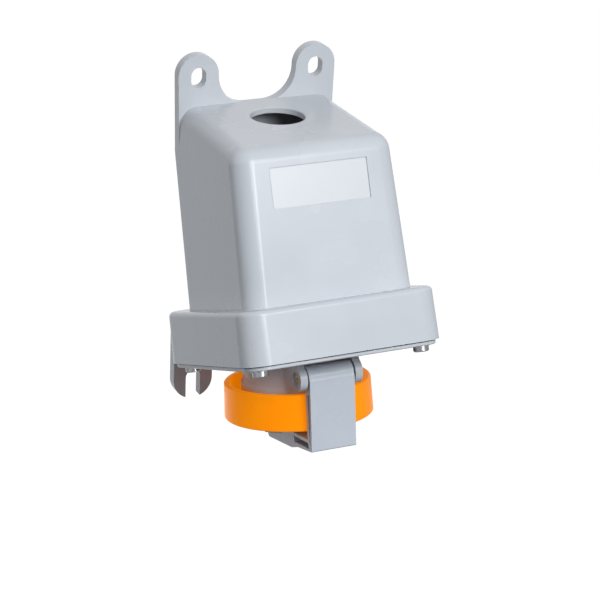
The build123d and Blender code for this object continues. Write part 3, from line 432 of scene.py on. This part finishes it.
def finish_of(node):
    """The finish of a CAD node, by what the piece is made of."""
    if node in ("housing", "flange_plate", "socket_body", "barrel_floor"):
        return housing_grey
    if node == "lid":
        return lid_grey
    if node == "locking_ring":
        return ring_yellow
    if node in ("carrier_neutral", "carrier_earth", "carrier_line", "terminal_block"):
        return carrier_dark
    if node in ("flange_gasket", "lid_gasket"):
        return seal_rubber
    if node.endswith("_contact"):
        return contact_brass
    if node == "hinge_pin":
        return pin_brass
    if node == "hinge_spring":
        return spring_wire
    return screw_steel


for node_name, node in nodes.items():
    node.data.materials.clear()
    node.data.materials.append(finish_of(node_name))
print("finished nodes:", len(nodes))

# %% [markdown]
# ## Soft moulded edges
#
# No moulded edge is knife sharp: a radius of a few tenths of a millimetre catches a thin line
# of light. The CAD nodes are fixed, so each one that shows gets a stand-in: a copy whose
# triangles are merged into clean faces and whose sharp edges are bevelled. Weighted normals
# keep the flat faces flat and let only the small bevels turn the light.

# %% Tidy and bevel a copy of a CAD node
MERGE_GAP = 0.002 * MM
FLAT_ANGLE = math.radians(0.6)
SHARP_ANGLE = math.radians(28)
BEVEL_SEGMENTS = 2
LARGE_FACE_WEIGHT = 90


def select_only(thing):
    """Selects one object and makes it active."""
    bpy.ops.object.select_all(action="DESELECT")
    thing.select_set(True)
    bpy.context.view_layer.objects.active = thing


def apply_modifiers(thing):
    """Applies every modifier of a piece, in order."""
    select_only(thing)
    for name in [m.name for m in thing.modifiers]:
        bpy.ops.object.modifier_apply(modifier=name)


def soft_copy(node_name, piece_name, width_mm):
    """Copies a CAD node, merges it into clean faces and bevels its sharp edges."""
    node = nodes[node_name]
    piece = bpy.data.objects.new(piece_name, node.data.copy())
    bpy.context.scene.collection.objects.link(piece)
    piece.data.name = piece_name
    select_only(piece)
    bpy.ops.object.mode_set(mode="EDIT")
    bpy.ops.mesh.select_all(action="SELECT")
    bpy.ops.mesh.remove_doubles(threshold=MERGE_GAP)
    bpy.ops.mesh.dissolve_limited(angle_limit=FLAT_ANGLE)
    bpy.ops.object.mode_set(mode="OBJECT")
    bevel = piece.modifiers.new("edge_radius", "BEVEL")
    bevel.limit_method = "ANGLE"
    bevel.angle_limit = SHARP_ANGLE
    bevel.width = width_mm * MM
    bevel.segments = BEVEL_SEGMENTS
    bevel.use_clamp_overlap = True
    bevel.loop_slide = True
    apply_modifiers(piece)
    select_only(piece)
    bpy.ops.object.shade_smooth_by_angle(angle=SHARP_ANGLE)
    weights = piece.modifiers.new("flat_faces", "WEIGHTED_NORMAL")
    weights.keep_sharp = True
    weights.weight = LARGE_FACE_WEIGHT
    apply_modifiers(piece)
    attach(piece, node["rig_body"])
    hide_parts(node_name)
    print(piece_name, "has", len(piece.data.polygons), "faces")
    return piece


# the radius of each piece's moulded edges, in millimetres
SOFT_EDGES = {
    "housing": 0.45,
    "flange_plate": 0.20,
    "socket_body": 0.35,
    "lid": 0.35,
    "locking_ring": 0.30,
    "flange_gasket": 0.20,
    "lid_gasket": 0.25,
    "hinge_pin": 0.15,
}
for node_name, edge_width in SOFT_EDGES.items():
    soft_copy(node_name, node_name + "_moulded", edge_width)

# %% [markdown]
# ## The bare label
#
# The shallow recess on the front holds a blank film: a thin sheet with rounded corners, a
# little smaller than the recess, lighter and smoother than the plastic round it. It is
# modelled flat at the origin, then turned onto the leaning front.

# %% Turn a flat piece onto the object
HOOD_TILT = math.radians(22)


def settle(thing, origin_mm, right, up):
    """Turns a piece modelled flat at the origin onto the object and applies its place."""
    right, up = Vector(right).normalized(), Vector(up).normalized()
    out = right.cross(up)
    axes = Matrix((right, up, out)).transposed().to_4x4()
    thing.matrix_world = Matrix.Translation(Vector(origin_mm) * MM) @ axes
    select_only(thing)
    bpy.ops.object.transform_apply(location=True, rotation=True, scale=True)


# %% Blank label film
LABEL_CENTRE = (0.0, -78.0355, 47.2127)
LABEL_SIZE = (48.3, 18.3)
LABEL_CORNER = 1.1
LABEL_CORNER_STEPS = 6
LABEL_THICKNESS = 0.16
LABEL_RIM = 0.05
HOOD_UP = (0.0, math.sin(HOOD_TILT), math.cos(HOOD_TILT))


def make_label():
    """A thin film with rounded corners and a soft rim, on the floor of its recess."""
    bpy.ops.object.select_all(action="DESELECT")
    bpy.ops.mesh.primitive_plane_add(size=MM)
    film = bpy.context.object
    film.name = film.data.name = "label_film"
    bpy.ops.object.mode_set(mode="EDIT")
    bpy.ops.transform.resize(value=(*LABEL_SIZE, 1))
    bpy.ops.mesh.bevel(offset=LABEL_CORNER * MM, segments=LABEL_CORNER_STEPS, affect="VERTICES")
    bpy.ops.mesh.extrude_region_move(
        TRANSFORM_OT_translate={"value": (0, 0, LABEL_THICKNESS * MM)})
    bpy.ops.mesh.select_all(action="SELECT")
    bpy.ops.mesh.normals_make_consistent(inside=False)
    bpy.ops.object.mode_set(mode="OBJECT")
    rim = film.modifiers.new("soft_rim", "BEVEL")
    rim.limit_method = "ANGLE"
    rim.width = LABEL_RIM * MM
    rim.segments = BEVEL_SEGMENTS
    apply_modifiers(film)
    settle(film, LABEL_CENTRE, (1, 0, 0), HOOD_UP)
    film.data.materials.append(label_film)
    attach(film, nodes["housing"]["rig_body"])
    return film


label = make_label()
print("label film", LABEL_SIZE, "mm,", len(label.data.polygons), "faces")

# %% [markdown]
# ## The closing spring
#
# A torsion spring of 1.2 mm wire sits round the hinge pin. A ring of wire section is swept
# six times round the pin with the Screw modifier. One open end is closed beside the pin, and
# the other is drawn out into a straight leg that reaches back to the socket tube.

# %% Coil spring
HINGE_CENTRE = Vector((0.0, -93.729, -41.622))
SOCKET_LEAN = math.radians(12)
SOCKET_OUT = Vector((0, -math.cos(SOCKET_LEAN), math.sin(SOCKET_LEAN)))
SOCKET_DOWN = Vector((0, -math.sin(SOCKET_LEAN), -math.cos(SOCKET_LEAN)))
WIRE = 1.2
WIRE_SIDES = 12
COIL_RADIUS = 3.6
COIL_TURNS = 6
COIL_TURN_STEPS = 28
STUB_LENGTH = WIRE / 4
LEG_LENGTH = 7.8
WIRE_SMOOTH_ANGLE = math.radians(40)


def end_loop(thing, lowest):
    """Selects the open wire end at one side of the coil, in edit mode."""
    bpy.ops.mesh.select_all(action="DESELECT")
    mesh = bmesh.from_edit_mesh(thing.data)
    open_edges = [e for e in mesh.edges if e.is_boundary]
    middle = sum((v.co.z for e in open_edges for v in e.verts), 0.0) / (2 * len(open_edges))
    for edge in open_edges:
        height = (edge.verts[0].co.z + edge.verts[1].co.z) / 2
        edge.select = (height < middle) == lowest
    bmesh.update_edit_mesh(thing.data)


def make_spring():
    """Six turns of round wire, closed at one end and with a straight leg at the other."""
    bpy.ops.object.select_all(action="DESELECT")
    bpy.ops.mesh.primitive_circle_add(vertices=WIRE_SIDES, radius=WIRE / 2 * MM,
                                      rotation=(math.pi / 2, 0, 0),
                                      location=(COIL_RADIUS * MM, 0, 0))
    coil = bpy.context.object
    coil.name = coil.data.name = "closing_spring_coil"
    bpy.ops.object.transform_apply(location=True, rotation=True, scale=True)
    sweep = coil.modifiers.new("turns", "SCREW")
    sweep.axis = "Z"
    sweep.angle = 2 * math.pi
    sweep.screw_offset = WIRE * MM
    sweep.iterations = COIL_TURNS
    sweep.steps = sweep.render_steps = COIL_TURN_STEPS
    apply_modifiers(coil)
    bpy.ops.object.mode_set(mode="EDIT")
    for lowest, step in ((True, STUB_LENGTH), (False, -LEG_LENGTH)):
        end_loop(coil, lowest)
        bpy.ops.mesh.extrude_region_move(TRANSFORM_OT_translate={"value": (0, step * MM, 0)})
        bpy.ops.mesh.edge_face_add()
    bpy.ops.mesh.select_all(action="SELECT")
    bpy.ops.mesh.normals_make_consistent(inside=False)
    bpy.ops.object.mode_set(mode="OBJECT")
    bpy.ops.object.shade_smooth_by_angle(angle=WIRE_SMOOTH_ANGLE)
    start = HINGE_CENTRE + Vector((COIL_TURNS * WIRE / 2, 0, 0))
    settle(coil, start, SOCKET_DOWN, SOCKET_OUT)
    return coil


spring = make_spring()
spring.data.materials.append(spring_wire)
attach(spring, nodes["hinge_spring"]["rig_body"])
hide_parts("hinge_spring")
spring_low, spring_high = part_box("hinge_spring")
print("spring node box", [round(v / MM, 1) for v in (*spring_low, *spring_high)])
coil_corners = [[f(v.co[i] for v in spring.data.vertices) for i in range(3)] for f in (min, max)]
print("coil box", [round(v / MM, 1) for corner in coil_corners for v in corner])
